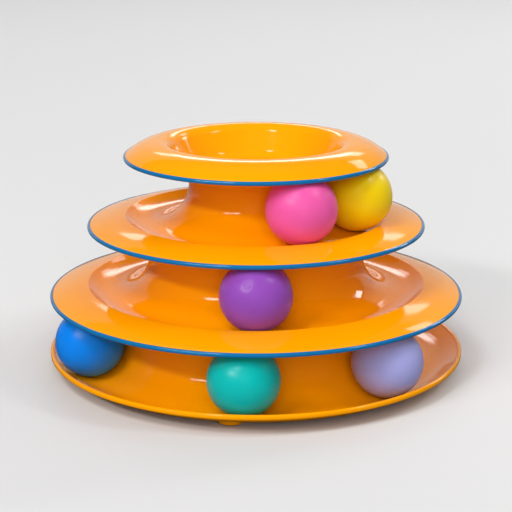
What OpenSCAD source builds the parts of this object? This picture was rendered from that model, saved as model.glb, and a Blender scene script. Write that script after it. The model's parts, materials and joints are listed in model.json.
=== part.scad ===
// Cat ball track toy: a tray and two tiers, each with a round channel for balls, and a treat dish on top.
// Millimetres, +Z up. The origin is on the ground, on the axis that every tier is turned about.
// The front of the toy faces -Y. A place round the axis is an angle from the front, positive towards +X.
// Each moulding is one wall bent along arcs in the half plane of radius and height, turned about the axis.
// A tier sits on the column of the tier below and is locked there by lugs, with a twist.

/* [Balls] */
// Outside diameter of a ball
ball_d = 41; // [38:0.5:43]
// Wall of a ball's hollow shell
ball_wall = 1.2; // [0.8:0.1:2]
// Running gap between a ball and the floor of its channel
ball_gap = 0.3; // [0.2:0.05:0.6]
// Diameter of the round mark that the blowing pin leaves on a ball
pin_mark_d = 3.2; // [2:0.2:5]
// Depth of the shallow dish round that mark
pin_mark_deep = 0.35; // [0.2:0.05:0.6]

/* [Walls] */
// Wall of the orange mouldings
wall = 2; // [1.6:0.1:2.6]

/* [Base tray] */
// Circle that the balls of the tray roll along, outwards from the lower tier's
base_track_out = 18.1; // [14.4:0.1:25.4]
// How much rounder the tray's channel is than its balls, in radius
base_play = 2; // [1:0.1:3]
// Outside of the tray's rim, outwards from the track's circle
base_rim_out = 20.3; // [18.5:0.1:22]
// Slope at which the outer side of the tray's channel runs straight up to its rim, in degrees
base_slope = 32; // [28:1:34]
// Thickness of the tray's rolled rim
base_rim_t = 2.6; // [2.2:0.1:3]
// Height of the tray's rolled rim
base_rim_h = 3.2; // [2.8:0.1:4.4]
// Top of the tray's rim above the place where the side's face reaches it
base_rim_up = 1; // [0.8:0.1:1.3]
// Underside of the tray's channel above the ground
ground_gap = 2.6; // [2:0.1:6]

/* [Lower tier] */
// Circle that the lower tier's ball rolls along, outwards from the middle tier's
lower_track_out = 22.6; // [20:0.2:26]
// How much rounder the lower channel is than its ball, in radius
lower_play = 1.5; // [1:0.1:3]
// Floor of the lower channel above the floor of the tray, less a ball's diameter
lower_headroom = 1.5; // [0.5:0.1:12]
// Lip of the lower channel, outwards from the track's circle
lower_lip_out = 14.6; // [12:0.2:16]
// Width of the lower tier's sloping flange, from the lip to the flange's end
lower_flange_w = 21.4; // [16:0.2:26]
// Drop of the lower tier's flange, from the lip to the flange's end
lower_flange_drop = 5.6; // [4.6:0.1:8]

/* [Middle tier] */
// Radius of the circle that the middle tier's balls roll along
middle_track_r = 64; // [62:0.5:67]
// How much rounder the middle channel is than its balls, in radius
middle_play = 3.5; // [2:0.1:4]
// Floor of the middle channel above the floor of the lower one, less a ball's diameter
middle_headroom = 1.2; // [0.5:0.1:12]
// Lip of the middle channel, outwards from the track's circle
middle_lip_out = 14; // [12:0.2:16]
// Width of the middle tier's sloping flange, from the lip to the flange's end
middle_flange_w = 21.3; // [16:0.1:26]
// Drop of the middle tier's flange, from the lip to the flange's end
middle_flange_drop = 4.8; // [4:0.1:7]
// How much a flange steepens from its lip to its end, in degrees
flange_bow = 15; // [6:1:24]

/* [Top dish] */
// Floor of the treat bowl above the middle channel's floor, short of a ball's diameter by this much
dish_sink = 11.3; // [6:0.1:12]
// Depth of the treat bowl, from the crest of its ring to its floor
bowl_depth = 19.1; // [16:0.1:24]
// Crest of the dish's ring, inwards from the circle of the middle tier's track
crest_in = 7.2; // [4:0.2:10]
// Rounding of the crest on the bowl's side
crest_inner_r = 8; // [6:0.5:9]
// Rounding between the bowl's wall and its floor
bowl_corner_r = 8; // [5:0.5:9]
// Slope of the bowl's wall, in degrees
bowl_slope = 62; // [56:1:66]
// Width of the dish's ring, from its crest to its end
ring_w = 20.8; // [19:0.1:24]
// Drop of the dish's ring, from its crest to its end
ring_drop = 7.9; // [6:0.1:8.4]

/* [Blue rim trims] */
// How far the trim stands proud of the wall, on each face
trim_proud = 0.3; // [0.1:0.05:0.6]
// Middle of the trim's round, outwards from the end of the wall
trim_out = 0.65; // [0.3:0.05:1]
// Thickness of the tongue on the wall's end that the trim is pressed over
tongue_t = 1; // [0.6:0.1:1.2]
// Length of that tongue
tongue_l = 1; // [0.6:0.1:1.2]
// Clearance between the tongue and the trim's groove
tongue_fit = 0.05; // [0.02:0.01:0.12]

/* [Twist locks] */
// Height of the flat seat under a tier, below its wall
seat_h = 0.6; // [0.4:0.1:1.5]
// Width of that seat outside the column it stands on
seat_over = 0.8; // [0.4:0.1:1.5]
// Length of the skirt that goes down inside the column
skirt_h = 8; // [7:0.5:12]
// Wall of the skirt
skirt_wall = 2; // [1.6:0.1:2.6]
// How far a lug stands out
lug_d = 1.6; // [1.2:0.1:2]
// Thickness of a lug
lug_t = 2; // [1.5:0.1:2.4]
// Length of a lug along the wall
lug_w = 16; // [10:0.5:20]
// Top of the column's lugs below its edge
lug_drop = 1.5; // [1:0.1:2]
// Clearance of a lug from what it slides past
lock_fit = 0.3; // [0.2:0.05:0.4]
// Lugs round each lock
lug_count = 3; // [2:1:4]

/* [Feet] */
// Feet under the tray
foot_count = 4; // [3:1:8]
// Diameter of a foot
foot_d = 15; // [13:0.5:18]
// Middle of a foot, inwards from the track's circle
foot_in = 1.9; // [0:0.1:4]
// Diameter of the rubber pad in a foot
pad_d = 12; // [9:0.5:12.5]
// Thickness of a pad
pad_t = 1.6; // [1.2:0.1:2]
// How far a pad stands out of its foot
pad_proud = 0.8; // [0.5:0.1:1]
// Clearance round a pad in its recess
pad_fit = 0.1; // [0.05:0.05:0.2]

/* [Hidden] */
$fn = 144;

// Overrun of every cut, and how far a lug or a tongue is rooted in its wall
over = 0.4;
// Straight down, and straight inwards, as angles in the half plane of radius and height
DOWN = 270;
INWARDS = 180;

orange = "#ff9a0c";
blue = "#1482d2";
black = "#26221f";

// Channels, from the tray upwards: circle of the track, round of the channel, floor, centre of the round
ball_r = ball_d / 2;
lower_track_r = middle_track_r + lower_track_out;
base_track_r = lower_track_r + base_track_out;
track_r = [base_track_r, lower_track_r, middle_track_r];
channel_r = [ball_r + base_play, ball_r + lower_play, ball_r + middle_play];
base_floor_z = ground_gap + wall;
lower_floor_z = base_floor_z + ball_d + lower_headroom;
middle_floor_z = lower_floor_z + ball_d + middle_headroom;
floor_z = [base_floor_z, lower_floor_z, middle_floor_z];
bowl_floor_z = middle_floor_z + ball_d - dish_sink;
channel_c = [for (i = [0 : 2]) [track_r[i], floor_z[i] + channel_r[i]]];

// Columns, from the tray's upwards: outside radius, and the seat on top that carries the next moulding
column_r = track_r - channel_r;
seat_z = [for (z = [lower_floor_z, middle_floor_z, bowl_floor_z]) z - wall - seat_h];
// Outside radius of the skirt that goes down inside each column
skirt_r = [for (r = column_r) r - wall - lug_d - lock_fit];

// Lips: where a channel's round ends, as an angle from straight down, and as a place
lip_out = [0, lower_lip_out, middle_lip_out];
lip_a = [for (i = [0 : 2]) asin(lip_out[i] / channel_r[i])];
lip = [for (i = [0 : 2]) channel_c[i] + channel_r[i] * [sin(lip_a[i]), -cos(lip_a[i])]];
crest = [middle_track_r - crest_in, bowl_floor_z + bowl_depth];

// Sloping faces, each a round from where it starts to where it ends: the flanges and the dish's ring
lower_end = lip[1] + [lower_flange_w, -lower_flange_drop];
middle_end = lip[2] + [middle_flange_w, -middle_flange_drop];
ring_end = crest + [ring_w, -ring_drop];
lower_slope = chord_slope(lip[1], lower_end) + flange_bow / 2;
middle_slope = chord_slope(lip[2], middle_end) + flange_bow / 2;
ring_slope = 2 * chord_slope(crest, ring_end);
trim_r = wall / 2 + trim_proud;
// Bands round a trim
trim_bands = 24;

// The tray's rim: a flat-sided bar with round edges, which the channel's straight side runs up to
base_rim_r = base_track_r + base_rim_out;
base_rim_mid_r = base_rim_r - base_rim_t / 2;
side_low = channel_c[0] + channel_r[0] * [sin(base_slope), -cos(base_slope)];
side_top = side_low + (base_rim_r - base_rim_t - side_low.x) * [1, tan(base_slope)];
base_rim_top = side_top.y + base_rim_up;

// Feet: angle of the first one from the front
foot_a = -7.7;

// Pink ball: angle from the front, in degrees
pink_a = 23.4;
// Azimuth and height of the mark on it, as angles in degrees
pink_mark_a = [150, -35];
// Yellow ball: angle from the front, in degrees
yellow_a = 66.6;
// Azimuth and height of the mark on it, as angles in degrees
yellow_mark_a = [200, 20];
// Purple ball: angle from the front, in degrees
purple_a = 0;
// Azimuth and height of the mark on it, as angles in degrees
purple_mark_a = [-16, 31.5];
// Teal ball: angle from the front, in degrees
teal_a = -3.7;
// Azimuth and height of the mark on it, as angles in degrees
teal_mark_a = [170, -20];
// Blue ball: angle from the front, in degrees
blue_a = -68.2;
// Azimuth and height of the mark on it, as angles in degrees
blue_mark_a = [95, -30];
// Lavender ball: angle from the front, in degrees
lavender_a = 45.1;
// Azimuth and height of the mark on it, as angles in degrees
lavender_mark_a = [220, 25];

// Direction square to a slope that falls outwards, and the same as an angle in the half plane
function normal(slope) = [sin(slope), cos(slope)];
function normal_a(slope) = atan2(normal(slope).y, normal(slope).x);
// Slope of the straight line between two places
function chord_slope(p, q) = atan2(p.y - q.y, q.x - p.x);
// Radius of the round that leaves place p and reaches q with the slope given there
function round_r(p, q, slope) = norm(q - p) / (2 * sin(slope - chord_slope(p, q)));

// Half plane shapes

// A sector about the origin between two angles less than a full turn apart, out to a radius or more
module sector(r, a0, a1) {
    steps = ceil((a1 - a0) / 45);
    reach = r / cos(45 / 2) + over;
    polygon(concat([[0, 0]],
                   [for (i = [0 : steps]) let (a = a0 + (a1 - a0) * i / steps) reach * [cos(a), sin(a)]]));
}

// A stroke of wall along an arc: its centre, the radii of its two faces and its angles
module bend(c, r_a, r_b, a0, a1) {
    translate(c)
    intersection() {
        difference() {
            circle(max(r_a, r_b));
            circle(min(r_a, r_b));
        }
        sector(max(r_a, r_b), a0, a1);
    }
}

// A straight stroke of wall whose face runs from p to q, with its body on the right hand side.
// It overruns both ends, and what it joins is cut out of it, so that the two share one edge.
module stroke(p, q) {
    along = (q - p) / norm(q - p);
    away = wall * [along.y, -along.x];
    a = p - over * along;
    b = q + over * along;
    polygon([a, b, b + away, a + away]);
}

// The channel of tier i, from the column round to an angle past straight down
module channel(i, end_a) {
    bend(channel_c[i], channel_r[i], channel_r[i] + wall, INWARDS, DOWN + end_a);
}

// The column of tier i, with a straight wall above its channel up to the seat
module column(i) {
    translate([column_r[i] - wall, channel_c[i].y])
        square([wall, seat_z[i] - channel_c[i].y]);
}

// What stands on column i: a flat seat for its edge and a skirt that goes down inside it.
// The seat reaches up to the middle of the wall above.
module seat(i) {
    inner = skirt_r[i] - skirt_wall;
    translate([inner, seat_z[i]])
        square([column_r[i] + seat_over - inner, seat_h + wall / 2]);
    translate([inner, seat_z[i] - skirt_h])
        square([skirt_wall, skirt_h + over]);
}

// The same seat under a channel, carried up to the middle of that channel's wall
module channel_seat(i) {
    inner = skirt_r[i] - skirt_wall;
    difference() {
        union() {
            seat(i);
            translate([inner, seat_z[i]])
                square([column_r[i] + seat_over - inner, channel_r[i + 1]]);
        }
        translate(channel_c[i + 1])
            circle(channel_r[i + 1] + wall / 2);
    }
}

// The middle of a wall's end, with +X down the slope there, for a face that ends at q
module at_end(q, slope) {
    translate(q - wall / 2 * normal(slope))
    rotate(-slope)
        children();
}

// The tongue on a wall's end, which the trim is pressed over
module tongue(q, slope) {
    at_end(q, slope)
    translate([-over, -tongue_t / 2])
        square([tongue_l + over, tongue_t]);
}

// The trim: a bar with narrow bands round it, flat where it meets the wall's end, and grooved for the tongue
module trim_section(q, slope) {
    at_end(q, slope)
    difference() {
        translate([trim_out, 0])
            polygon([for (k = [1 : trim_bands]) let (a = k * 360 / trim_bands) trim_r * [cos(a), sin(a)]]);
        translate([-2 * trim_r, -2 * trim_r])
            square([2 * trim_r, 4 * trim_r]);
        translate([-over, -tongue_t / 2 - tongue_fit])
            square([over + tongue_l + tongue_fit, tongue_t + 2 * tongue_fit]);
    }
}

// A sloping wall whose face runs from p round to q, where it has the slope given, with its tongue
module round_slope(p, q, slope) {
    r = round_r(p, q, slope);
    first_slope = 2 * chord_slope(p, q) - slope;
    bend(p - r * normal(first_slope), r - wall, r, normal_a(slope), normal_a(first_slope));
    tongue(q, slope);
}

// Section of a tier: column, channel and flange, and the seat on the column below
module tier_section(i, q, slope) {
    column(i);
    channel(i, lip_a[i]);
    round_slope(lip[i], q, slope);
    channel_seat(i - 1);
}

// Section of the dish: bowl, crest and sloping ring, and the seat on the column below
module dish_section() {
    crest_c = crest - [0, crest_inner_r];
    wall_top = crest_c + crest_inner_r * [-sin(bowl_slope), cos(bowl_slope)];
    wall_low_z = bowl_floor_z + bowl_corner_r * (1 - cos(bowl_slope));
    wall_low = [wall_top.x - (wall_top.y - wall_low_z) / tan(bowl_slope), wall_low_z];
    floor_r = wall_low.x - bowl_corner_r * sin(bowl_slope);
    corner_c = [floor_r, bowl_floor_z + bowl_corner_r];
    corner_outer_r = bowl_corner_r + wall;
    translate([0, bowl_floor_z - wall])
        square([floor_r, wall]);
    bend(corner_c, bowl_corner_r, corner_outer_r, DOWN, DOWN + bowl_slope);
    difference() {
        stroke(wall_low, wall_top);
        translate(corner_c)
            sector(corner_outer_r, DOWN, DOWN + bowl_slope);
        translate(crest_c)
            sector(crest_inner_r, normal_a(0), normal_a(-bowl_slope));
    }
    bend(crest_c, crest_inner_r - wall, crest_inner_r, normal_a(0), normal_a(-bowl_slope));
    round_slope(crest, ring_end, ring_slope);
    seat(2);
}

// Section of the tray: column, channel, its straight outer side, and the rolled rim
module tray_section() {
    column(0);
    channel(0, base_slope);
    difference() {
        stroke(side_low, side_top);
        translate(channel_c[0])
            sector(channel_r[0] + wall, INWARDS, DOWN + base_slope);
    }
    for (z = [base_rim_top - base_rim_t / 2, base_rim_top - base_rim_h + base_rim_t / 2])
        translate([base_rim_mid_r, z])
            circle(base_rim_t / 2);
    translate([base_rim_r - base_rim_t, base_rim_top - base_rim_h + base_rim_t / 2])
        square([base_rim_t, base_rim_h - base_rim_t]);
}

// Lugs of the twist locks, between two radii, and the height of their underside
module lugs(r_a, r_b, z) {
    turn = lug_w / r_b * 180 / PI;
    for (k = [0 : lug_count - 1])
        rotate(k * 360 / lug_count - turn / 2)
        rotate_extrude(angle = turn)
        translate([r_a, z])
            square([r_b - r_a, lug_t]);
}

// The lugs inside the top of column i stand inwards
module column_lugs(i) {
    inside = column_r[i] - wall;
    lugs(inside - lug_d, inside + over, seat_z[i] - lug_drop - lug_t);
}

// The lugs of a skirt stand outwards, under those of column i
module skirt_lugs(i) {
    lugs(skirt_r[i] - over, skirt_r[i] + lug_d, seat_z[i] - lug_drop - 2 * lug_t - lock_fit);
}

// One play ball in channel i, at an angle from the front, with its mark at an azimuth and a height
module play_ball(i, angle, mark) {
    translate([track_r[i] * sin(angle), -track_r[i] * cos(angle), floor_z[i] + ball_gap + ball_r])
    rotate(mark[0] - 90)
    rotate([0, 90 - mark[1], 0])
    difference() {
        union() {
            difference() {
                sphere(ball_r);
                translate([0, 0, ball_r - pin_mark_deep])
                    cylinder(h = ball_wall, d = 2 * pin_mark_d);
            }
            translate([0, 0, ball_r - ball_wall])
                cylinder(h = ball_wall - pin_mark_deep / 2, d = pin_mark_d);
        }
        sphere(ball_r - ball_wall);
    }
}

// Pieces

module base_tray() {
    color(orange)
    difference() {
        union() {
            rotate_extrude()
                tray_section();
            column_lugs(0);
            difference() {
                at_feet()
                    translate([0, 0, pad_proud])
                        cylinder(h = channel_r[0], d = foot_d);
                rotate_extrude()
                    translate(channel_c[0])
                        circle(channel_r[0] + wall / 2);
            }
        }
        at_feet()
            cylinder(h = pad_t, d = pad_d + 2 * pad_fit);
    }
}

// Copies its children to each foot's middle
module at_feet() {
    for (k = [0 : foot_count - 1])
        rotate(foot_a - 90 + k * 360 / foot_count)
        translate([base_track_r - foot_in, 0, 0])
            children();
}

module foot_pads() {
    color(black)
    at_feet()
        cylinder(h = pad_t, d = pad_d);
}

module lower_tier() {
    color(orange) {
        rotate_extrude()
            tier_section(1, lower_end, lower_slope);
        column_lugs(1);
        skirt_lugs(0);
    }
}

module middle_tier() {
    color(orange) {
        rotate_extrude()
            tier_section(2, middle_end, middle_slope);
        column_lugs(2);
        skirt_lugs(1);
    }
}

module top_dish() {
    color(orange) {
        rotate_extrude()
            dish_section();
        skirt_lugs(2);
    }
}

module lower_rim_trim() {
    color(blue)
    rotate_extrude()
        trim_section(lower_end, lower_slope);
}

module middle_rim_trim() {
    color(blue)
    rotate_extrude()
        trim_section(middle_end, middle_slope);
}

module top_rim_trim() {
    color(blue)
    rotate_extrude()
        trim_section(ring_end, ring_slope);
}

module ball_pink() {
    color("#f868b0")
    play_ball(2, pink_a, pink_mark_a);
}

module ball_yellow() {
    color("#efc60c")
    play_ball(2, yellow_a, yellow_mark_a);
}

module ball_purple() {
    color("#9c54b8")
    play_ball(1, purple_a, purple_mark_a);
}

module ball_teal() {
    color("#00c4bc")
    play_ball(0, teal_a, teal_mark_a);
}

module ball_blue() {
    color("#007cdc")
    play_ball(0, blue_a, blue_mark_a);
}

module ball_lavender() {
    color("#a4a0d4")
    play_ball(0, lavender_a, lavender_mark_a);
}

base_tray();
lower_tier();
middle_tier();
top_dish();
lower_rim_trim();
middle_rim_trim();
top_rim_trim();
ball_pink();
ball_yellow();
ball_purple();
ball_teal();
ball_blue();
ball_lavender();
foot_pads();
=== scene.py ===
# %% [markdown]
# # A cat ball track toy
# A tray and two tiers, each a ring channel in which loose balls roll round a middle column, with a treat
# dish on top. Every moulding is round about one axis, so nearly all the surfaces here are sections, drawn
# once in the half plane of radius and height, and turned about that axis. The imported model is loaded
# first: it is the frame that says where each piece is, and which body it moves with. This script gives
# the pieces their looks.

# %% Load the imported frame
import json
import bmesh
import bpy
import numpy as np
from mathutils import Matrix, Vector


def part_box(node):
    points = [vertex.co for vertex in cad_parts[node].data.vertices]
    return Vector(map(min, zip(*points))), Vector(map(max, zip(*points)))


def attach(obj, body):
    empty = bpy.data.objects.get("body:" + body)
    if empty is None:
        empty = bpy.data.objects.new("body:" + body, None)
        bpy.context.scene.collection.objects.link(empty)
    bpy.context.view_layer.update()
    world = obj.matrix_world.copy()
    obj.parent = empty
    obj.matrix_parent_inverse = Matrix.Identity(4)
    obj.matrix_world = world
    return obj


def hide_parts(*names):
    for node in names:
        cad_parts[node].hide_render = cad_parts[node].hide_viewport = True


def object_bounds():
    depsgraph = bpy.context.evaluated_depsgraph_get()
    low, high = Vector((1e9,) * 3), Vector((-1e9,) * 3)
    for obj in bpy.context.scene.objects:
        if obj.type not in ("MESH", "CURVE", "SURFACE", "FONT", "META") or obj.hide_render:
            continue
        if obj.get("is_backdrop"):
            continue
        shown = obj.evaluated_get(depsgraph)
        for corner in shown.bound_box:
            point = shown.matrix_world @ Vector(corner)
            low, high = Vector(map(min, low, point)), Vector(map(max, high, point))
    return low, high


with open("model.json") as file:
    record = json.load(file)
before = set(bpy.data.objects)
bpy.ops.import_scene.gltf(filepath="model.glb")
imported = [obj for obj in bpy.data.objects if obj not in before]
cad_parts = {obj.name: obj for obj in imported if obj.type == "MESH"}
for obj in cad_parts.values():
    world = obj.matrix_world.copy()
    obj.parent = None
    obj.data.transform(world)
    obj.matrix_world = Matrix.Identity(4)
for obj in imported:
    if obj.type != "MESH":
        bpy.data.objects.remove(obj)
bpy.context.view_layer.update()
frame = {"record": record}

MM = 0.001

# %% [markdown]
# ## Sections
# A section could be drawn by hand as a long list of points, or as a curve object that is then screwed
# round. Here it is joined from arcs and corners, as a mould maker draws it, because each arc keeps its
# true radius. Two small steps finish it: sharp corners get the little rounding that every moulding has,
# and long straight stretches get points near their ends, so that smooth shading stays flat between them.

# %% Arcs, and directions of slopes
def arc(centre, radius, first, last, step=4.0, fewest=3):
    """Points centre + radius * (cos a, sin a), for angles a from first to last in degrees, at most a step
    apart and never fewer than three."""
    count = max(fewest, int(np.ceil(abs(last - first) / step)) + 1)
    a = np.radians(np.linspace(first, last, count))
    return np.stack([centre[0] + radius * np.cos(a), centre[1] + radius * np.sin(a)], 1)


def normal(slope):
    """Direction square to a slope that falls outwards, its angle in degrees."""
    return np.array([np.sin(np.radians(slope)), np.cos(np.radians(slope))])


def chord_slope(p, q):
    """Slope in degrees of the straight line that falls from p to q."""
    return np.degrees(np.arctan2(p[1] - q[1], q[0] - p[0]))


print("a quarter of a round in steps of 30 degrees:", arc([0, 0], 10, 0, 90, step=30).round(2).tolist())

# %% Rounding the corners of a closed section
# In mm: a radius below ON_AXIS counts as the axis itself, and points closer than COINCIDE count as one.
ON_AXIS, COINCIDE = 1e-6, 0.01


def softened(points, radius, sharpest=15.0, steps=4, hairpin=2.6, most=0.45):
    """Rounds each corner that turns by more than the angle sharpest. With unit directions u into a corner p
    and v out of it, and turn t, the curve leaves at p - d u and lands at p + d v, for d = radius tan(t / 2).
    Between them it is (1 - s)^2 (p - d u) + 2 s (1 - s) p + s^2 (p + d v), for s from 0 to 1. In d, a turn
    counts as hairpin radians at most, and d is never past the share most of a neighbouring stretch.
    A corner on the axis stays as it is."""
    before, after = points - np.roll(points, 1, 0), np.roll(points, -1, 0) - points
    len_in, len_out = np.linalg.norm(before, axis=1), np.linalg.norm(after, axis=1)
    u, v = before / len_in[:, None], after / len_out[:, None]
    turn = np.arccos(np.clip((u * v).sum(1), -1, 1))
    d = np.minimum(radius * np.tan(np.minimum(turn, hairpin) / 2), most * np.minimum(len_in, len_out))
    d = np.where((turn > np.radians(sharpest)) & (points[:, 0] > ON_AXIS), d, 0)[:, None, None]
    s = np.linspace(0, 1, steps + 1)[None, :, None]
    start, middle, end = points[:, None] - d * u[:, None], points[:, None], points[:, None] + d * v[:, None]
    curve = (1 - s) ** 2 * start + 2 * s * (1 - s) * middle + s ** 2 * end
    keep = np.ones(curve.shape[:2], bool)
    keep[d[:, 0, 0] == 0, 1:] = False
    return curve[keep]


def held(points, hold=0.35, longest=4.0, least=6):
    """Adds points along each segment that is longer than least holds: one a hold from either end, and
    between them as many, evenly spread, as leave no stretch longer than the longest. The k-th of count
    added points is at the share hold / length + (k - 1) (1 - 2 hold / length) / (count - 1)."""
    step = np.roll(points, -1, 0) - points
    length = np.linalg.norm(step, axis=1)[:, None]
    count = np.where(length > least * hold, np.ceil((length - 2 * hold) / longest) + 1, 0)
    k = np.arange(int(count.max()) + 1)[None]
    share = np.where(k > 0, hold / length + (k - 1) * ((1 - 2 * hold / length) / (count - 1)), 0)
    return (points[:, None] + share[:, :, None] * step[:, None])[k <= count]


def section(*stretches, radius=0.4):
    """Joins stretches of points into a closed loop without repeats, rounds its corners, adds its holds."""
    loop = np.concatenate([np.atleast_2d(np.array(s, float)) for s in stretches])
    apart = np.linalg.norm(loop - np.roll(loop, 1, 0), axis=1) > COINCIDE
    return held(softened(loop[apart], radius))


square = section([[10, 0], [14, 0], [14, 4], [10, 4]], radius=0.5)
print("a square of 4 points, rounded and held, has", len(square))

# %% [markdown]
# ## Turning a section
# Blender's Screw modifier would turn a section too, but it leaves no say in where the seam and the poles
# lie. A grid does: one parameter runs along the section and the other round the axis. The place (r, z) at
# an angle a from the front lies at (r sin a, -r cos a, z). A loop that touches the axis shares one point
# there, and a part turn, such as a lug, gets two flat ends.

# %% Turn a section into faces
def turned(points, steps=216, first=0.0, turn=360.0):
    """Points (r, z) in mm become places (r sin a, -r cos a, z) for steps angles a from first, over the
    turn in degrees. The loop is put anticlockwise, so that all faces point outwards. Gives places and
    faces."""
    r, z = points.T
    if (r * np.roll(z, -1) - np.roll(r, -1) * z).sum() < 0:
        r, z = r[::-1], z[::-1]
    whole = turn >= 360
    rings = steps if whole else steps + 1
    a = np.radians(first + turn * np.arange(rings) / steps)[:, None]
    places = np.stack([r * np.sin(a), -r * np.cos(a), z + 0 * a], 2).reshape(-1, 3)
    index = np.arange(rings * len(r)).reshape(rings, len(r))
    index[:, r < ON_AXIS] = index[0, r < ON_AXIS]
    i, j = index, np.roll(index, -1, 0)
    quads = np.stack([i, j, np.roll(j, -1, 1), np.roll(i, -1, 1)], 2)
    faces = closed_faces(quads[:steps].reshape(-1, 4))
    if not whole:
        faces += [index[0].tolist(), index[-1][::-1].tolist()]
    return places, faces


def closed_faces(quads):
    """Quads with one edge on the axis become triangles, and those with two edges there go."""
    same_start, same_end = quads[:, 0] == quads[:, 1], quads[:, 2] == quads[:, 3]
    faces = quads[~same_start & ~same_end].tolist()
    faces += quads[same_start & ~same_end][:, 1:].tolist()
    faces += quads[~same_start & same_end][:, :3].tolist()
    return faces


print("that square, turned in 48 steps, has", len(turned(square, steps=48)[1]), "faces")

# %% [markdown]
# ## One mesh for each piece
# On the real toy a column, its channel, its lugs and its feet are one moulding. A boolean union would join
# them here too, but it leaves long thin faces that shade badly. Instead each is a closed shell that reaches
# a little way into its neighbour, and the shells of a moulding go into one mesh. Its place is in the mesh,
# so the object itself stays at the origin.

# %% Put shells into one piece
def piece(name, shells, sharp=38.0):
    """One object out of closed shells, places in mm and faces each, smooth but at edges past sharp."""
    places, faces, offset = [], [], 0
    for shell_places, shell_faces in shells:
        places.append(shell_places)
        faces += [[k + offset for k in face] for face in shell_faces]
        offset += len(shell_places)
    mesh = bpy.data.meshes.new(name)
    mesh.from_pydata((np.concatenate(places) * MM).tolist(), [], faces)
    used = np.zeros(len(mesh.vertices), bool)
    used[[k for face in faces for k in face]] = True
    trim_loose(mesh, used)
    mesh.polygons.foreach_set("use_smooth", np.ones(len(mesh.polygons), bool))
    mesh.set_sharp_from_angle(angle=np.radians(sharp))
    obj = bpy.data.objects.new(name, mesh)
    bpy.context.scene.collection.objects.link(obj)
    mesh.calc_loop_triangles()
    print(name, "triangles", len(mesh.loop_triangles))
    return obj


def trim_loose(mesh, used):
    """Deletes the points that no face uses, which are the spare copies of a point on the axis."""
    bm = bmesh.new()
    bm.from_mesh(mesh)
    bmesh.ops.delete(bm, geom=[v for v, u in zip(list(bm.verts), used) if not u], context="VERTS")
    bm.to_mesh(mesh)
    bm.free()


# %% [markdown]
# ## Sizes
# All the sizes follow from a few: the ball, the circles that the balls roll along, the play in each
# channel and the wall. They are the real ones, in millimetres, and the tray's radius is checked against
# the frame.

# %% Sizes in millimetres
wall = 2.0                                      # thickness of every moulding
ball_r, ball_gap = 20.5, 0.3                    # radius of a ball, and its gap to the channel's floor
ground_gap = 2.6                                # from the ground to the tray
seat_h = 0.6                                    # from a wall down to the seat under it
track_r = np.array([104.7, 86.6, 64.0])         # circles that the balls' middles roll along
play = np.array([2.0, 1.5, 3.5])                # how much rounder than a ball each channel is
over_balls = np.array([0, 1.5, 2.7])            # each floor's height over that of the balls below, summed
bowl_drop = 11.3                                # from a ball's height over the top track to the bowl's floor
rim_out = 20.3                                  # from the lowest track out to the rim

channel_r = ball_r + play
rise = 2 * ball_r * np.arange(3) + over_balls
floor_z = ground_gap + wall + rise
channel_c = np.stack([track_r, floor_z + channel_r], 1)
bowl_floor_z = floor_z[2] + 2 * ball_r - bowl_drop
column_r = track_r - channel_r
seat_z = np.array([floor_z[1], floor_z[2], bowl_floor_z]) - wall - seat_h
rim_r = track_r[0] + rim_out

# %% [markdown]
# ## The tray
# The real tray is one injection moulding: a column, a round channel, a straight side and a rolled rim. It
# could be cut from a solid disc, but a mould keeps its walls equally thick. Here the inner and the outer arc
# of the channel share their centre, which does the same. The section goes down the column's face, round the
# channel, up the side and over the rim, and back underneath.

# %% Tray: column, channel and rolled rim
side_slope = 32.0                               # degrees, of the straight side
rim_t, rim_h, rim_up = 2.6, 3.2, 1.0            # the rim's thickness, its height, its rise over the side
rim_first, rim_last, rim_step = 165, -123, 15   # degrees, where its two round edges begin and end


def tray_section():
    """Face of the wall outwards, a rim of thickness rim_t with round edges, and the wall's underside
    inwards. The face reaches the rim at height low + (rim_r - rim_t - out) tan(slope), and rim_up above
    that is the rim's top. The two round edges run from the face to the outside and on to the underside,
    at the angles given above."""
    c, r, half = channel_c[0], channel_r[0], rim_t / 2
    face_out = arc(c, r, 180, 270 + side_slope)
    under = arc(c, r + wall, 270 + side_slope, 180)
    out, low = face_out[-1]
    rim_top = low + (rim_r - rim_t - out) * np.tan(np.radians(side_slope)) + rim_up
    over_top = arc([rim_r - half, rim_top - half], half, rim_first, 0, rim_step)
    under_lip = arc([rim_r - half, rim_top - rim_h + half], half, 0, rim_last, rim_step)
    seat = [[column_r[0] - wall, seat_z[0]], [column_r[0], seat_z[0]]]
    return section(seat, face_out, over_top, under_lip, under, radius=0.35)


tray = tray_section()
print("tray's section:", len(tray), "points, out to", tray[:, 0].max().round(2), "mm")

# %% [markdown]
# ### Feet and pads
# Short round bosses under the channel hold rubber pads, so that the toy doesn't slide. A plain cylinder
# would either stop short of the round channel or stand up inside it. So a boss is turned with a flat top,
# and its upper part is then squeezed in height until it ends inside the channel's wall.

# %% Feet: bosses that end inside the channel's wall, and their rubber pads
foot_r, boss_top = 7.5, 9.0                     # a boss's radius, and its top before it is fitted
foot_in = 1.9                                   # how far inside the track's circle the feet stand
foot_at = track_r[0] - foot_in
foot_first, foot_count = -7.7, 4                # degrees from the front to the first foot; their number
pad_r, pad_t = 6.0, 1.6                         # a pad's radius and thickness
pad_proud, pad_fit = 0.8, 0.1                   # how far it stands out below, and its play in the recess
groove_r, groove_at = 0.35, (0.72 * pad_r, 0.4 * pad_r)


def spread(shell, count, first, at):
    """Copies a shell made on the axis to count places, evenly round, a distance at from the axis."""
    for k in range(count):
        a = np.radians(first + 360 * k / count)
        yield shell[0] + np.array([at * np.sin(a), -at * np.cos(a), 0]), shell[1]


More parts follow.
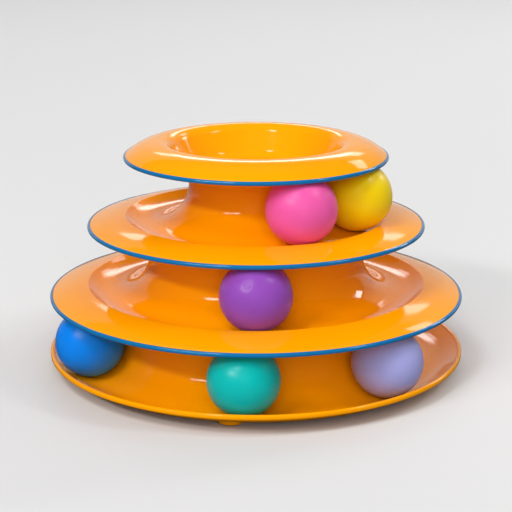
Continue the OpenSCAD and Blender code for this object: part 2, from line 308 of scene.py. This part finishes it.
def foot_shell():
    """A boss with a recess below, up to a flat top that is fitted to the channel afterwards."""
    recess = pad_r + pad_fit
    return turned(section([[0, pad_t], [recess, pad_t], [recess, pad_proud], [foot_r, pad_proud],
                           [foot_r, boss_top], [0, boss_top]], radius=0.3), steps=72)


def seated(shell):
    """Shrinks a boss in height above the recess, so that its top lies in the middle of the channel's
    wall, at z = centre - sqrt(R^2 - (distance from the axis - track)^2)."""
    places, faces = shell
    out = np.hypot(places[:, 0], places[:, 1]) - channel_c[0][0]
    middle = channel_c[0][1] - np.sqrt((channel_r[0] + wall / 2) ** 2 - out ** 2)
    share = np.clip((places[:, 2] - pad_t) / (boss_top - pad_t), 0, 1)
    places[:, 2] += share * (middle - boss_top)
    return places, faces


def pad_section():
    """A disc with a softened edge and two shallow grooves in its sole."""
    grooves = [arc([r, 0], groove_r, 0, 180, step=45) for r in groove_at]
    sole = np.concatenate([[[pad_r, 0]], *grooves, [[0, 0]]])
    return section(sole, [[0, pad_t], [pad_r, pad_t]], radius=0.25)


def feet():
    """The bosses, evenly round under the channel, each fitted to it."""
    return [seated(boss) for boss in spread(foot_shell(), foot_count, foot_first, foot_at)]


def foot_pads():
    """The rubber pads, one in each boss."""
    return list(spread(turned(pad_section(), steps=48), foot_count, foot_first, foot_at))


print("feet:", len(feet()), "of", 2 * foot_r, "mm; a pad's section has", len(pad_section()), "points")

# %% [markdown]
# ## Twist locks
# Each moulding stands on the column below with a flat seat, and a skirt reaches down inside. Three lugs
# in the column and three on the skirt slide under each other with a twist. They show only from below, but
# they are real, so they are turned from small rectangles, each over a part of the circle.

# %% Skirts and lugs
skirt_wall, skirt_h = 2.0, 8.0                  # a skirt's wall and height
seat_over = 0.8                                 # how far a seat reaches out past the column under it
lug_d, lug_t, lug_w = 1.6, 2.0, 16.0            # how far a lug stands out, its height and its width
lug_drop, lock_fit = 1.5, 0.3                   # from the seat down to a lug, and the play of the lock
lug_count, root = 3, 0.4                        # lugs in a ring, and how deep each goes into its wall
skirt_r = column_r - wall - lug_d - lock_fit


def lugs(inner, outer, low):
    """Rectangles from inner to outer radius, lug_t high, each turned over lug_w of the outer circle."""
    turn = np.degrees(lug_w / outer)
    box = section([[inner, low], [outer, low], [outer, low + lug_t], [inner, low + lug_t]], radius=0.3)
    middles = [k * 360 / lug_count for k in range(lug_count)]
    return [turned(box, steps=24, first=middle - turn / 2, turn=turn) for middle in middles]


def column_lugs(i):
    """Lugs that stand inwards from column i, lug_drop below its seat. The root goes into the wall."""
    inside = column_r[i] - wall
    return lugs(inside - lug_d, inside + root, seat_z[i] - lug_drop - lug_t)


def skirt_lugs(i):
    """Lugs that stand outwards from the skirt in column i, under the column's lugs."""
    return lugs(skirt_r[i] - root, skirt_r[i] + lug_d, seat_z[i] - lug_drop - 2 * lug_t - lock_fit)


def skirt(i, under):
    """Corners of seat and skirt on column i, inwards. under(r) is the height of the wall they hang from."""
    seat_out, inner = column_r[i] + seat_over, skirt_r[i] - skirt_wall
    z = seat_z[i]
    return [[seat_out, under(seat_out)], [seat_out, z], [skirt_r[i], z], [skirt_r[i], z - skirt_h],
            [inner, z - skirt_h], [inner, under(inner)]]


print("radii of the skirts in mm:", skirt_r.round(2).tolist())

# %% [markdown]
# ## The tiers and the dish
# A tier's channel ends in a crisp lip, and from there a broad flange falls away to the blue trim. A straight
# slope would do for the flange, but the real one catches the light in a soft band, because it is a large
# round: its slope grows from the lip outwards. Its end is stepped down to a thin tongue that the trim is
# pressed over.

# %% Flanges and tongues
tongue_t, tongue_l, tongue_fit = 1.0, 1.0, 0.05 # a tongue's thickness, its length and its play
trim_out, trim_proud = 0.65, 0.3                # the bead's middle past the wall's end; its extra radius
trim_r = wall / 2 + trim_proud


def sloped(p, q, end_slope):
    """Centre and radius of the round that falls from p to q and has the slope end_slope at q, and its first
    slope. The chord's slope is half way between the two, so radius = |q - p| / (2 sin(end - chord))."""
    chord = chord_slope(p, q)
    radius = np.linalg.norm(q - p) / (2 * np.sin(np.radians(end_slope - chord)))
    first = 2 * chord - end_slope
    return p - radius * normal(first), radius, first


def placed(points, q, slope):
    """Points given along and square to a wall's end, turned down its slope and put at the wall's middle."""
    out = np.array([normal(slope)[1], -normal(slope)[0]])
    points = np.array(points, float)
    return q - wall / 2 * normal(slope) + points[:, :1] * out + points[:, 1:] * normal(slope)


def wall_end(q, slope):
    """The stepped end of a wall, from its upper face to its lower one, with the tongue between."""
    h, t = wall / 2, tongue_t / 2
    return placed([[0, h], [0, t], [tongue_l, t], [tongue_l, -t], [0, -t], [0, -h]], q, slope)


def crossing_of_rounds(c0, r0, c1, r1):
    """The upper one of the two places where two circles cross."""
    d = c1 - c0
    dist = np.linalg.norm(d)
    along = (dist ** 2 + r0 ** 2 - r1 ** 2) / (2 * dist)
    foot, across = c0 + along * d / dist, np.sqrt(r0 ** 2 - along ** 2)
    aside = across * np.array([d[1], -d[0]]) / dist
    return max([foot + aside, foot - aside], key=lambda p: p[1])


print("a trim's bead is", 2 * trim_r, "mm thick")

# %% Tiers
# The first of each three is the tray's, which has no flange.
lip_out = np.array([0, 14.6, 14.0])             # from the track out to the channel's lip
flange_w = np.array([0, 21.4, 21.3])            # a flange's width
flange_drop = np.array([0, 5.6, 4.8])           # how far it falls
flange_bow = 15.0                               # degrees, how much steeper it gets from the lip to the end
lip_a = np.degrees(np.arcsin(lip_out / channel_r))
lip = channel_c + channel_r[:, None] * np.stack([np.sin(np.radians(lip_a)), -np.cos(np.radians(lip_a))], 1)
flange_end = lip + np.stack([flange_w, -flange_drop], 1)
flange_slope = [chord_slope(lip[i], flange_end[i]) + flange_bow / 2 for i in range(3)]


def angle_of(centre, place):
    """Angle in degrees from 0 to 360 of a place seen from a centre."""
    return np.degrees(np.arctan2(place[1] - centre[1], place[0] - centre[0])) % 360


def tier_section(i):
    """Down the column, round the channel to the lip, down the flange to its tongue, and back underneath."""
    c, r = channel_c[i], channel_r[i]
    fc, fr, first = sloped(lip[i], flange_end[i], flange_slope[i])
    bend = crossing_of_rounds(c, r + wall, fc, fr - wall)
    seat_out, inner = column_r[i - 1] + seat_over, skirt_r[i - 1] - skirt_wall

    def under(x):
        return c[1] - np.sqrt((r + wall) ** 2 - (x - c[0]) ** 2)

    out_a = angle_of(c, [seat_out, under(seat_out)])
    in_a = angle_of(c, [inner, under(inner)])
    seat = [[column_r[i] - wall, seat_z[i]], [column_r[i], seat_z[i]]]
    channel = arc(c, r, 180, 270 + lip_a[i])
    flange = arc(fc, fr, 90 - first, 90 - flange_slope[i], step=1)[1:]
    end = wall_end(flange_end[i], flange_slope[i])
    flange_under = arc(fc, fr - wall, 90 - flange_slope[i], angle_of(fc, bend), step=1)[1:]
    channel_under = arc(c, r + wall, angle_of(c, bend), out_a)[1:]
    inside = arc(c, r + wall, in_a, 180)[1:]
    return section(seat, channel, flange, end, flange_under, channel_under, skirt(i - 1, under), inside,
                   radius=0.5)


print("lips in mm:", lip[1:].round(1).tolist(), "ends of the flanges:", flange_end[1:].round(1).tolist())

# %% [markdown]
# ### The dish
# The dish for treats has a flat floor, a round corner, a steep wall, and a crest from which its ring falls
# away to the top trim. A bowl with a solid rim would look the same from above. The real one is as thin as
# the tiers, so the underside follows the top at the wall's distance, also under the crest.

# %% Dish
crest_r, crest_up = 56.8, 19.1                  # the crest's radius, and its height over the bowl's floor
ring_w, ring_drop = 20.8, 7.9                   # the ring's width, and how far it falls
crest_inner_r, bowl_corner_r = 8.0, 8.0         # how round the crest's inside and the bowl's corner are
bowl_slope = 62.0                               # degrees, of the bowl's wall
crest = np.array([crest_r, bowl_floor_z + crest_up])
ring_end = crest + np.array([ring_w, -ring_drop])
ring_slope = 2 * chord_slope(crest, ring_end)


def dish_section():
    """Over the bowl's floor, round its corner, up its wall, over the crest, down the ring, back below."""
    crest_c = crest - np.array([0, crest_inner_r])
    wall_top = arc(crest_c, crest_inner_r, 90 + bowl_slope, 90, step=5)
    steep = np.radians(bowl_slope)
    low_z = bowl_floor_z + bowl_corner_r * (1 - np.cos(steep))
    low_x = wall_top[0][0] - (wall_top[0][1] - low_z) / np.tan(steep)
    corner_c = np.array([low_x - bowl_corner_r * np.sin(steep), bowl_floor_z + bowl_corner_r])
    outer = bowl_corner_r + wall
    rc, rr, _ = sloped(crest, ring_end, ring_slope)

    def under(x):
        return corner_c[1] - np.sqrt(outer ** 2 - max(x - corner_c[0], 0) ** 2)

    seat_a = angle_of(corner_c, [column_r[2] + seat_over, under(column_r[2] + seat_over)])
    middle = [[0, bowl_floor_z - wall], [0, bowl_floor_z]]
    corner = arc(corner_c, bowl_corner_r, 270, 270 + bowl_slope, step=5)
    ring = arc(rc, rr, 90, 90 - ring_slope, step=2)[1:]
    ring_under = arc(rc, rr - wall, 90 - ring_slope, 90, step=2)[1:]
    crest_under = arc(crest_c, crest_inner_r - wall, 90, 90 + bowl_slope, step=8)[1:]
    corner_under = arc(corner_c, outer, 270 + bowl_slope, seat_a, step=5)
    return section(middle, corner, wall_top, ring, wall_end(ring_end, ring_slope), ring_under, crest_under,
                   corner_under, skirt(2, under), radius=0.4)


print("dish's section:", len(dish_section()), "points, up to", crest[1].round(1), "mm")

# %% [markdown]
# ### The blue trims
# Each of the three upper edges carries a round blue bead. A torus laid along the edge would cut into the
# wall. This bead is cut flat where it meets the wall's end and has a groove for the tongue, so the two
# pieces touch and don't overlap, and it is turned down by the slope that the wall has there.

# %% Blue trims: a round bead, flat where it meets the wall's end, with a groove for the tongue
def trim_section(q, slope):
    """A circle of radius trim_r whose middle stands trim_out beyond the wall's end, cut flat at the end."""
    cut = np.degrees(np.arccos(-trim_out / trim_r))
    groove = tongue_t / 2 + tongue_fit
    bead = arc([trim_out, 0], trim_r, cut, -cut, step=12)
    slot = [[0, -groove], [tongue_l + tongue_fit, -groove], [tongue_l + tongue_fit, groove], [0, groove]]
    return section(placed(np.concatenate([bead, slot]), q, slope), radius=0.08)


# %% [markdown]
# ## The balls
# Each ball is blown in a mould, so it is a smooth hollow sphere, with one small round mark where the
# blowing pin was. Blender's own sphere could be dented with a displacement, but its rings would be even.
# A sphere with its pole at that mark puts the fine rings of the grid where the detail is.

# %% Balls
mark_r, mark_deep = 3.2, 0.35                   # the mark's radius and depth
dish_reach = 1.15                               # how much further than that its dish fades out
pin_r, pin_edge = 1.6, 0.12                     # radius of the pin's stub, and how soft its edge is
pin_share = 0.55                                # the stub's height as a share of the mark's depth
ball_rings, ball_sides, crowding = 72, 96, 1.6


def ball_shell(centre, azimuth, height):
    """Places centre + h(t) * direction, t being the angle from the mark in the direction (azimuth, height),
    and out = ball_r sin t the distance from the mark's middle. On the mark's side h is ball_r, less a dish
    mark_deep (1 + cos(pi out / (dish_reach mark_r))) / 2, plus the pin's stub
    pin_share mark_deep / (1 + exp((out - pin_r) / pin_edge)). On the other side h is ball_r. The angles t
    are pi times a share to the power crowding, so they lie closer together near the mark."""
    share = np.linspace(0, 1, ball_rings)
    t = np.pi * share ** crowding
    out = ball_r * np.sin(t)
    near = np.cos(t) > 0
    dish = mark_deep * 0.5 * (1 + np.cos(np.pi * np.clip(out / (dish_reach * mark_r), 0, 1))) * near
    stub = pin_share * mark_deep / (1 + np.exp((out - pin_r) / pin_edge)) * near
    h = ball_r - dish + stub
    a = np.linspace(0, 2 * np.pi, ball_sides, endpoint=False)[:, None]
    local = np.stack([h * np.sin(t) * np.cos(a), h * np.sin(t) * np.sin(a), h * np.cos(t) + 0 * a], 2)
    az, el = np.radians(azimuth), np.radians(height)
    pole = np.array([np.sin(az) * np.cos(el), -np.cos(az) * np.cos(el), np.sin(el)])
    side = np.array([np.cos(az), np.sin(az), 0])
    places = local.reshape(-1, 3) @ np.stack([side, np.cross(pole, side), pole]) + centre
    index = np.arange(len(places)).reshape(len(a), len(t))
    index[:, 0], index[:, -1] = index[0, 0], index[0, -1]
    j = np.roll(index, -1, 0)
    quads = np.stack([index[:, :-1], index[:, 1:], j[:, 1:], j[:, :-1]], 2).reshape(-1, 4)
    top, end = quads[:, 0] == quads[:, 3], quads[:, 1] == quads[:, 2]
    faces = quads[~top & ~end].tolist() + quads[top][:, :3].tolist() + quads[end][:, [0, 1, 3]].tolist()
    return places, faces


def ball_centre(i, angle):
    """Middle of a ball in channel i at an angle from the front."""
    a = np.radians(angle)
    return np.array([track_r[i] * np.sin(a), -track_r[i] * np.cos(a), floor_z[i] + ball_gap + ball_r])


print("heights of the balls' middles in mm:", [float(ball_centre(i, 0)[2].round(1)) for i in range(3)])

# %% [markdown]
# ## Making the pieces
# Each piece stands for the CAD node of its name, hides that node, and rides on the body that holds it.
# Its finish is given further down.

# %% What every piece is made of
SHELLS = {
    "base_tray": lambda: [turned(tray_section())] + column_lugs(0) + feet(),
    "lower_tier": lambda: [turned(tier_section(1))] + column_lugs(1) + skirt_lugs(0),
    "middle_tier": lambda: [turned(tier_section(2))] + column_lugs(2) + skirt_lugs(1),
    "top_dish": lambda: [turned(dish_section())] + skirt_lugs(2),
    "lower_rim_trim": lambda: [turned(trim_section(flange_end[1], flange_slope[1]))],
    "middle_rim_trim": lambda: [turned(trim_section(flange_end[2], flange_slope[2]))],
    "top_rim_trim": lambda: [turned(trim_section(ring_end, ring_slope))],
    "foot_pads": foot_pads,
}
# Each ball: its channel, its angle from the front, and the azimuth and height that its mark points to.
BALLS = {
    "pink": (2, 23.4, 150, -35), "yellow": (2, 66.6, 200, 20), "purple": (1, 0, -16, 31.5),
    "teal": (0, -3.7, 170, -20), "blue": (0, -68.2, 95, -30), "lavender": (0, 45.1, 220, 25),
}


def ball_maker(channel, angle, azimuth, height):
    """A function without arguments that makes the shells of one ball."""
    return lambda: [ball_shell(ball_centre(channel, angle), azimuth, height)]


for colour, setting in BALLS.items():
    SHELLS["ball_" + colour] = ball_maker(*setting)
print("pieces:", len(SHELLS))

# %% Make every piece
body_of = {node: body for body, nodes in frame["record"]["behaviour"]["bodies"].items() for node in nodes}
pieces = {}
for node, shells in SHELLS.items():
    made = piece(node + "_skin", shells())
    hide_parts(node)
    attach(made, body_of[node])
    pieces[node] = made
    low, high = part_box(node)
    gap = np.abs(np.array(made.bound_box)[[0, 6]] - np.array([low, high])).max() / MM
    print(node, "is off its CAD node's box by at most", round(gap, 2), "mm")

# %% [markdown]
# ## Materials
# Colours are written as sRGB hex values, the way a paint or a picture gives them, and one function turns
# them to the linear values that light is summed in. Nodes could be placed by hand in Blender's editor; here
# one small function adds a node with its settings and links, so that the whole material can be read in one
# place. Every pattern's scale is worked out from a real size in millimetres.

# %% Colour and node helpers
def linear(hex_colour):
    """Each sRGB channel c becomes c / 12.92 up to 0.04045, and ((c + 0.055) / 1.055) ^ 2.4 above."""
    c = np.array([int(hex_colour[k:k + 2], 16) for k in (1, 3, 5)]) / 255
    return (*np.where(c <= 0.04045, c / 12.92, ((c + 0.055) / 1.055) ** 2.4), 1.0)


def fill(tree, node, inputs):
    """Sets each input of a node to a value, or links it to another node's output."""
    for key, value in dict(inputs).items():
        if isinstance(value, bpy.types.NodeSocket):
            tree.links.new(value, node.inputs[key])
        else:
            node.inputs[key].default_value = value


def add(tree, kind, inputs=(), **settings):
    """Adds a node of that kind with its settings, and fills its inputs."""
    node = tree.nodes.new(kind)
    for key, value in settings.items():
        setattr(node, key, value)
    fill(tree, node, inputs)
    return node


def per_metre(size_mm):
    """Scale of a pattern whose cells are size_mm wide, for coordinates in metres."""
    return 1 / (size_mm * MM)


def fresh(name):
    """A new material with nodes, its tree and shader, and the place in the object's own metres."""
    material = bpy.data.materials.new(name)
    material.use_nodes = True
    tree = material.node_tree
    place = add(tree, "ShaderNodeTexCoord").outputs["Object"]
    return material, tree, tree.nodes["Principled BSDF"], place


print("mid grey in linear light:", round(linear("#808080")[0], 3))

# %% [markdown]
# ### Orange mouldings
# Glossy injection moulded polypropylene. The mould is turned and polished, which leaves faint rings round
# the axis. The flow of the melt clouds the colour a little, and the surface swells by some hundredths of a
# millimetre, which makes the mirror images of the lamps waver. Balls and paws leave a haze of fine scratches
# where they roll and rub. A plain colour with one roughness would look like new glaze, so each of these has
# its own pattern, with its size in millimetres.

# %% Moulded polypropylene
def moulded_polypropylene(name, main, deep, gloss, cloud_mm=45, scratch_mm=1.4, patch_mm=22, swell_mm=16,
                          swell_deep_mm=0.06, ring_mm=1.1, ring_deep_mm=0.0006):
    """Colour: two near hexes mixed by a cloud. Roughness: low, and raised by the product of fine
    scratches and a larger patch. Bump: a swell, and over it rings sin(2 pi r / ring_mm), r being the
    distance from the axis. Gloss is the level of the mirror image, 0.5 being that of the index itself:
    the orange is a little waxy on top, so it has less. Real turning marks and scratches are about 0.1 mm
    apart; these are drawn as coarse as they need to be to show."""
    material, tree, shader, place = fresh(name)
    cloud = add(tree, "ShaderNodeTexNoise", {"Vector": place, "Scale": per_metre(cloud_mm), "Detail": 2.0})
    colour = add(tree, "ShaderNodeMix", {0: cloud.outputs["Fac"], 6: linear(main), 7: linear(deep)},
                 data_type="RGBA")
    scratch = add(tree, "ShaderNodeTexNoise", {"Vector": place, "Scale": per_metre(scratch_mm),
                                               "Detail": 6.0, "Roughness": 0.7})
    patch = add(tree, "ShaderNodeTexNoise", {"Vector": place, "Scale": per_metre(patch_mm), "Detail": 3.0})
    worn = add(tree, "ShaderNodeMath", {0: scratch.outputs["Fac"], 1: patch.outputs["Fac"]},
               operation="MULTIPLY")
    rough = add(tree, "ShaderNodeMapRange", {"Value": worn.outputs[0], "From Min": 0.15,
                                             "From Max": 0.4, "To Min": 0.06, "To Max": 0.12})
    swell = add(tree, "ShaderNodeTexNoise", {"Vector": place, "Scale": per_metre(swell_mm), "Detail": 1.0})
    swollen = add(tree, "ShaderNodeBump", {"Height": swell.outputs["Fac"], "Strength": 1.0,
                                           "Distance": swell_deep_mm * MM})
    flat = add(tree, "ShaderNodeVectorMath", {0: place, 1: (1.0, 1.0, 0.0)}, operation="MULTIPLY")
    radius = add(tree, "ShaderNodeVectorMath", {0: flat.outputs[0]}, operation="LENGTH")
    turns = add(tree, "ShaderNodeMath", {0: radius.outputs["Value"], 1: 2 * np.pi * per_metre(ring_mm)},
                operation="MULTIPLY")
    wave = add(tree, "ShaderNodeMath", {0: turns.outputs[0]}, operation="SINE")
    ringed = add(tree, "ShaderNodeBump", {"Height": wave.outputs[0], "Normal": swollen.outputs["Normal"],
                                          "Strength": 1.0, "Distance": ring_deep_mm * MM})
    fill(tree, shader, {"Base Color": colour.outputs[2], "Roughness": rough.outputs["Result"],
                        "Normal": ringed.outputs["Normal"], "IOR": 1.49, "Specular IOR Level": gloss})
    return material


orange = moulded_polypropylene("moulded_polypropylene_orange", "#ffa702", "#ff9f02", 0.25)
blue = moulded_polypropylene("moulded_polypropylene_blue", "#0d74ae", "#0b6ba4", 0.5)
print("the orange finish has", len(orange.node_tree.nodes), "nodes")

# %% [markdown]
# ### Balls
# Blow moulded polyethylene: satin, a little waxy, so light sinks in slightly before it comes back. A plain
# rough surface would look painted; a small weight of subsurface light makes the shade on a ball softer and
# purer. Its skin has a fine grain from the blasted mould, and rolling has rubbed it here and there.

# %% Blow moulded polyethylene
def blown_polyethylene(name, main, deep, cloud_mm=14, rub_mm=6, grain_mm=0.9, grain_deep_mm=0.012,
                       sink_mm=1.5):
    """Colour: two near hexes mixed by a cloud. Roughness: satin, uneven where the ball is rubbed. Bump:
    the mould's grain, which is finer on the real ball and drawn coarse enough to show. A little of the
    light sinks in by sink_mm and comes back."""
    material, tree, shader, place = fresh(name)
    cloud = add(tree, "ShaderNodeTexNoise", {"Vector": place, "Scale": per_metre(cloud_mm), "Detail": 2.0})
    colour = add(tree, "ShaderNodeMix", {0: cloud.outputs["Fac"], 6: linear(main), 7: linear(deep)},
                 data_type="RGBA")
    rub = add(tree, "ShaderNodeTexNoise", {"Vector": place, "Scale": per_metre(rub_mm),
                                           "Detail": 5.0, "Roughness": 0.65})
    rough = add(tree, "ShaderNodeMapRange", {"Value": rub.outputs["Fac"], "From Min": 0.35,
                                             "From Max": 0.65, "To Min": 0.28, "To Max": 0.36})
    grain = add(tree, "ShaderNodeTexNoise", {"Vector": place, "Scale": per_metre(grain_mm), "Detail": 3.0})
    bump = add(tree, "ShaderNodeBump", {"Height": grain.outputs["Fac"], "Strength": 1.0,
                                        "Distance": grain_deep_mm * MM})
    fill(tree, shader, {"Base Color": colour.outputs[2], "Roughness": rough.outputs["Result"],
                        "Normal": bump.outputs["Normal"], "IOR": 1.5, "Specular IOR Level": 0.3,
                        "Subsurface Weight": 0.15, "Subsurface Radius": (1.0, 1.0, 1.0),
                        "Subsurface Scale": sink_mm * MM})
    return material


BALL_COLOURS = {
    "pink": ("#f062ac", "#ec58a4"), "yellow": ("#fbd90c", "#f6d008"), "purple": ("#964fb8", "#8f48b0"),
    "teal": ("#08bdb6", "#04b4ae"), "blue": ("#0688f2", "#057ee6"), "lavender": ("#a9aae2", "#a2a3dc"),
}
finish = {"ball_" + colour: blown_polyethylene("blown_polyethylene_" + colour, *pair)
          for colour, pair in BALL_COLOURS.items()}
print("finishes of the balls:", len(finish))

# %% [markdown]
# ### Pads
# Natural rubber, moulded and matt, with a fine talc-grey bloom. The pads hardly show unless the toy is
# turned over, so one rough finish with a patchy colour is enough.

# %% Moulded rubber
def moulded_rubber(name, main, bloom, patch_mm=3, grain_mm=0.5, grain_deep_mm=0.03):
    """Colour: black with a pale bloom in patches. Rough all over, with a grain for bump."""
    material, tree, shader, place = fresh(name)
    patch = add(tree, "ShaderNodeTexNoise", {"Vector": place, "Scale": per_metre(patch_mm), "Detail": 4.0})
    colour = add(tree, "ShaderNodeMix", {0: patch.outputs["Fac"], 6: linear(main), 7: linear(bloom)},
                 data_type="RGBA")
    grain = add(tree, "ShaderNodeTexNoise", {"Vector": place, "Scale": per_metre(grain_mm), "Detail": 2.0})
    bump = add(tree, "ShaderNodeBump", {"Height": grain.outputs["Fac"], "Strength": 1.0,
                                        "Distance": grain_deep_mm * MM})
    fill(tree, shader, {"Base Color": colour.outputs[2], "Normal": bump.outputs["Normal"],
                        "Roughness": 0.75})
    return material


finish["foot_pads"] = moulded_rubber("moulded_rubber_black", "#232120", "#3a3735")

# %% Give every piece its finish
finish |= {node: orange for node in ("base_tray", "lower_tier", "middle_tier", "top_dish")}
finish |= {node: blue for node in ("lower_rim_trim", "middle_rim_trim", "top_rim_trim")}
for node, obj in pieces.items():
    obj.data.materials.append(finish[node])
print("materials:", sorted({m.name for m in finish.values()}))

# %% [markdown]
# ## Camera
# The photograph is taken from a little above, from far enough away that its lines hardly converge. The
# place, pitch and lens were found by fitting the rims' and balls' outlines.

# %% Camera
camera_distance, camera_height = 890.17, 313.27 # mm in front of the toy's axis, and above the ground
camera_pitch = 15.475                           # degrees down
focal_px, frame_px, sensor_mm = 1527.74, 512, 36.0
lens = bpy.data.cameras.new("camera")
lens.sensor_width = sensor_mm
lens.lens = focal_px * sensor_mm / frame_px
camera = bpy.data.objects.new("camera", lens)
camera.location = (0, -camera_distance * MM, camera_height * MM)
camera.rotation_euler = (np.radians(90 - camera_pitch), 0, 0)
bpy.context.scene.collection.objects.link(camera)
bpy.context.scene.camera = camera
print("lens in mm:", round(lens.lens, 2))

# %% [markdown]
# ## Floor and light
# The toy stands on a seamless pale sweep: flat under it, bent up far behind it, as in a studio. A lamp
# with a falloff would light the near side of the toy more than the far one, so the even light comes from
# suns, each a large soft window very far away. A high one on the left leaves the shadow to the right, and
# a lower one in front fills the channels. Suns leave no mirror image here: panels give the sharp
# highlights, and a glow behind the toy, seen in mirror images only, whitens the dish's crest. Together
# they light the open floor with about a full share of white, at which its colour renders about as it is
# written.

# %% Floor
def pale_sheet(name, seen, lit, painted_dark_reflection, near=0.3, far=1.2):
    """Matt paper. Colour: seen, for rays from the camera, and the darker lit for light that the paper
    throws on the object. In mirror images the floor in front is painted dark, a painted dark reflection with
    no cloth or lamp there, and the pale paper shows behind the toy. They go from one to the other between
    the distances near and far behind it, in metres."""
    material, tree, shader, place = fresh(name)
    path = add(tree, "ShaderNodeLightPath").outputs
    shown = add(tree, "ShaderNodeMath", {0: path["Is Camera Ray"], 1: path["Is Transmission Ray"]},
                operation="ADD", use_clamp=True)
    away = add(tree, "ShaderNodeSeparateXYZ", {0: place})
    behind = add(tree, "ShaderNodeMapRange", {"Value": away.outputs["Y"], "From Min": near,
                                              "From Max": far})
    direct = add(tree, "ShaderNodeMix", {0: shown.outputs[0], 6: linear(lit), 7: linear(seen)},
                 data_type="RGBA")
    # Painted dark reflection: for glossy rays the floor in front takes the dark tone, and the pale paper
    # only further behind.
    image = add(tree, "ShaderNodeMix", {0: behind.outputs["Result"], 6: linear(painted_dark_reflection), 7: linear(seen)},
                data_type="RGBA")
    colour = add(tree, "ShaderNodeMix", {0: path["Is Glossy Ray"], 6: direct.outputs[2],
                                         7: image.outputs[2]}, data_type="RGBA")
    fill(tree, shader, {"Base Color": colour.outputs[2], "Roughness": 0.9})
    return material


def ground(half=4.0, front=-3.0, flat=2.4, bend=1.5, top=3.0, steps=12):
    """A sheet, in metres: half to each side, level from front to flat, then an arc (flat + bend sin t,
    bend - bend cos t) in steps for t up to 90 degrees, then upright to the top."""
    t = np.radians(np.linspace(0, 90, steps + 1))
    y = np.concatenate([[front], flat + bend * np.sin(t), [flat + bend]])
    z = np.concatenate([[0.0], bend - bend * np.cos(t), [top]])
    sides = [np.stack([np.full(len(y), x), y, z], 1) for x in (-half, half)]
    left = np.arange(len(y) - 1)
    right = left + len(y)
    places, faces = np.concatenate(sides), np.stack([left, right, right + 1, left + 1], 1)
    mesh = bpy.data.meshes.new("ground")
    mesh.from_pydata(places.tolist(), [], faces.tolist())
    obj = bpy.data.objects.new("ground", mesh)
    bpy.context.scene.collection.objects.link(obj)
    # The dark tone #404040 is a painted dark reflection, shown only in mirror images of the floor in front.
    mesh.materials.append(pale_sheet("matt_paper_pale", "#e1e1e1", "#9d9d9d", "#404040"))
    obj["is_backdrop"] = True
    print("floor reaches", flat + bend, "m behind the toy and rises to", top, "m")


ground()

# %% [markdown]
# ### Two kinds of lamp
# A sun lights everything evenly, and a panel also shows as a bright shape in the gloss. Panels alone would
# do, but then each change of a highlight would change the light on the whole toy. So the even light comes
# from suns that mirror images leave out, and the panels are set for their highlights.

# %% Kinds of lamp
toy_middle = 0.07                               # height in metres that every lamp faces


def aim(name, data, azimuth, elevation, distance=0.0):
    """A lamp at a distance in metres from the toy's middle, facing it. Its direction is
    (sin a cos e, -cos a cos e, sin e), for a degrees from the front and e degrees above the ground."""
    a, e = np.radians(azimuth), np.radians(elevation)
    direction = np.array([np.sin(a) * np.cos(e), -np.cos(a) * np.cos(e), np.sin(e)])
    obj = bpy.data.objects.new(name, data)
    obj.location = np.array([0, 0, toy_middle]) + distance * direction
    obj.rotation_euler = (np.pi / 2 - e, 0, a)
    bpy.context.scene.collection.objects.link(obj)
    return obj


def soft_sun(name, azimuth, elevation, share, width):
    """Even light from one direction, as if from a disc width degrees wide. A white sheet that faces it
    gives back the share of white, so its strength is share * pi."""
    data = bpy.data.lights.new(name, "SUN")
    data.energy, data.angle = share * np.pi, np.radians(width)
    aim(name, data, azimuth, elevation).visible_glossy = False


def panel(name, azimuth, elevation, distance, width, height, radiance):
    """A rectangular lamp that shows in mirror images: its power is radiance * pi * width * height."""
    data = bpy.data.lights.new(name, "AREA")
    data.shape, data.size, data.size_y = "RECTANGLE", width, height
    data.energy = radiance * np.pi * width * height
    return aim(name, data, azimuth, elevation, distance)


# %% The lamps themselves
world_share = 0.09
world = bpy.data.worlds.new("studio")
bpy.context.scene.world = world
world.use_nodes = True
sky = world.node_tree.nodes["Background"]
fill(world.node_tree, sky, {"Color": linear("#ffffff"), "Strength": world_share})

# Azimuth and elevation in degrees, share of white, width in degrees.
SUNS = {
    "high_left": (-40, 57, 0.18, 22),
    "high_front": (0, 52, 0.05, 30),
    "front": (0, 24, 0.38, 40),
    "high_right": (62, 68, 0.06, 22),
    "right": (90, 38, 0.06, 40),
    "back": (180, 58, 0.1, 25),
}
# Azimuth and elevation in degrees; distance, width and height in metres; radiance.
PANELS = {
    "window_left": (-42, 34, 4.0, 1.7, 0.3, 30),
    "window_high": (-30, 53, 4.0, 0.5, 0.9, 18),
    "window_right": (126, 25, 3.0, 0.45, 0.5, 13),
    "window_side": (77, 51, 3.0, 0.3, 0.6, 18),
    "window_back": (178, 27, 3.0, 1.7, 0.3, 3),
    "window_back_right": (143, 36, 3.0, 0.8, 0.35, 5),
}
# The same, for what shows in mirror images and lights nothing.
GLOWS = {"window_back_glow": (178, 27, 3.05, 1.1, 0.42, 3.0)}
for name, setting in SUNS.items():
    soft_sun(name, *setting)
for name, setting in PANELS.items():
    panel(name, *setting)
for name, setting in GLOWS.items():
    panel(name, *setting).visible_diffuse = False
bpy.context.scene.view_settings.view_transform = "Standard"

# %% Level of the light
def on_floor(share, elevation):
    """Share of white on a level floor, under light that gives a sheet facing it that share: share sin e."""
    return share * np.sin(np.radians(elevation))


suns = sum(on_floor(share, elevation) for _, elevation, share, _ in SUNS.values())
panels = sum(on_floor(radiance * width * height / (np.pi * distance ** 2), elevation)
             for _, elevation, distance, width, height, radiance in PANELS.values())
print("open floor's share of white: suns", round(suns, 2), "panels", round(panels, 2), "world", world_share)

# %% [markdown]
# ## Sizes and finish
# Blender must not change the object's size. So the box of all the pieces that show is worked out here.

# %% Sizes and finish
low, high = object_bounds()
